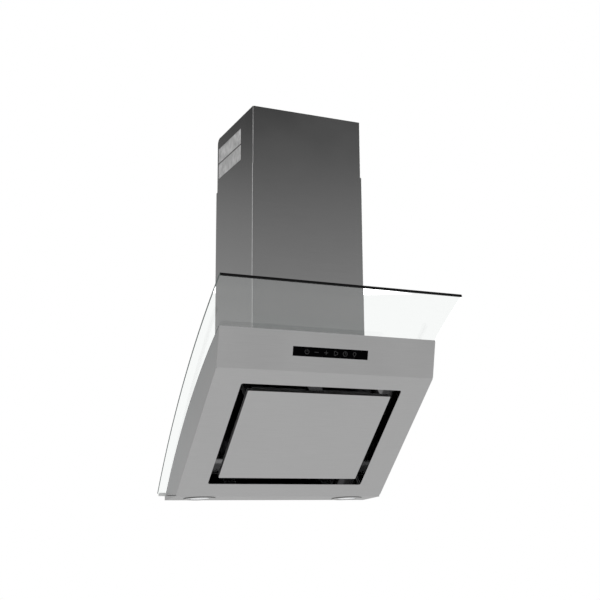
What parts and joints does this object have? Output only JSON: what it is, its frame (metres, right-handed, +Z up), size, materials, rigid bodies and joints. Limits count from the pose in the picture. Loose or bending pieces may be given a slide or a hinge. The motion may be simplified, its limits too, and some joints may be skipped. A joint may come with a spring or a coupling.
{
  "type": "wall range hood",
  "caption": "Inclined wall hood with a curved glass canopy, perimeter intake panel, touch strip, two lamps and a telescopic chimney.",
  "frame": {"origin": "on the wall plane, at the middle of the body's bottom edge", "axes": "+X to the right as the cook sees it, +Y back to the wall, +Z up"},
  "size_m": [0.6, 0.471, 0.9477],
  "materials": {
    "body_steel": "satin brushed stainless steel",
    "panel_steel": "satin brushed stainless steel",
    "chimney_steel": "satin brushed stainless steel",
    "vent_mesh": "perforated steel",
    "recess_black": "black gloss paint",
    "galvanised": "galvanised steel",
    "filter_aluminium": "plain aluminium",
    "black_plastic": "moulded black plastic",
    "scroll_plastic": "moulded grey plastic",
    "white_plastic": "moulded white plastic",
    "touch_black": "black back-printed glass",
    "clear_glass": "clear toughened glass, polished edges",
    "lamp_lens": "frosted lens",
    "lamp_steel": "satin steel",
    "heat_sink": "extruded aluminium",
    "rubber": "black rubber",
    "bright_steel": "bright zinc-plated steel",
    "circuit_board": "green circuit board",
    "pad_brass": "sprung contact pads",
    "motor_paint": "grey paint"
  },
  "bodies": {
    "root": {"casing": "body_steel", "fascia": "body_steel", "chimney_lower": "chimney_steel", "intake_frame": "recess_black", "air_box": "galvanised", "hinge_brackets": "galvanised", "chimney_brackets": "galvanised", "motor_bracket": "galvanised", "filter_frame": "filter_aluminium", "filter_mesh": "filter_aluminium", "catch_keepers": "black_plastic", "control_housing": "black_plastic", "outlet_collar": "black_plastic", "terminal_box": "black_plastic", "cable_gland": "black_plastic", "scroll_left": "scroll_plastic", "scroll_right": "scroll_plastic", "led_driver": "white_plastic", "capacitor": "white_plastic", "touch_glass": "touch_black", "glass_canopy": "clear_glass", "lamp_lens_left": "lamp_lens", "lamp_lens_right": "lamp_lens", "lamp_rim_left": "lamp_steel", "lamp_rim_right": "lamp_steel", "led_module_left": "heat_sink", "led_module_right": "heat_sink", "glass_seats": "rubber", "casing_seals": "rubber", "glass_washers": "rubber", "chimney_gasket": "rubber", "hinge_pins": "bright_steel", "glass_spacers": "bright_steel", "glass_screws": "bright_steel", "glass_nuts": "bright_steel", "body_screws": "bright_steel", "collar_screws": "bright_steel", "chimney_screws": "bright_steel", "flap_pin": "bright_steel", "control_board": "circuit_board", "touch_pads": "pad_brass", "motor": "motor_paint"},
    "chimney_upper": {"chimney_upper": "chimney_steel", "vent_grille_left": "vent_mesh", "vent_grille_right": "vent_mesh", "top_bracket": "galvanised"},
    "intake_panel": {"intake_panel": "panel_steel", "panel_leaves": "galvanised", "panel_studs": "bright_steel"},
    "filter_latch": {"filter_latch": "black_plastic"},
    "impeller": {"impeller": "scroll_plastic", "motor_shaft": "bright_steel"},
    "flap_front": {"flap_front": "white_plastic"},
    "flap_rear": {"flap_rear": "white_plastic"}
  },
  "joints": [
    {"name": "chimney_slide", "type": "slide", "parent": "root", "child": "chimney_upper", "axis": [0, 0, 1], "range_m": [-0.145, 0.2]},
    {"name": "panel_hinge", "type": "hinge", "parent": "root", "child": "intake_panel", "pos_m": [0, -0.13334, 0.0691], "axis": [1, 0, 0], "range_deg": [0, 80]},
    {"name": "latch_slide", "type": "slide", "parent": "root", "child": "filter_latch", "axis": [0, 0.7208, -0.6931], "range_m": [0, 0.0065], "stiffness_N_per_m": 300, "springref_m": -0.003},
    {"name": "impeller_spin", "type": "hinge", "parent": "root", "child": "impeller", "pos_m": [0, -0.09157, 0.4], "axis": [1, 0, 0], "continuous": true},
    {"name": "flap_front_swing", "type": "hinge", "parent": "root", "child": "flap_front", "pos_m": [0, -0.155, 0.574], "axis": [-1, 0, 0], "range_deg": [0, 75]},
    {"name": "flap_rear_swing", "type": "hinge", "parent": "root", "child": "flap_rear", "pos_m": [0, -0.155, 0.574], "axis": [1, 0, 0], "range_deg": [0, 75]}
  ],
  "couplings": [
    {"joint": "flap_rear_swing", "follows": "flap_front_swing", "ratio": 1}
  ]
}
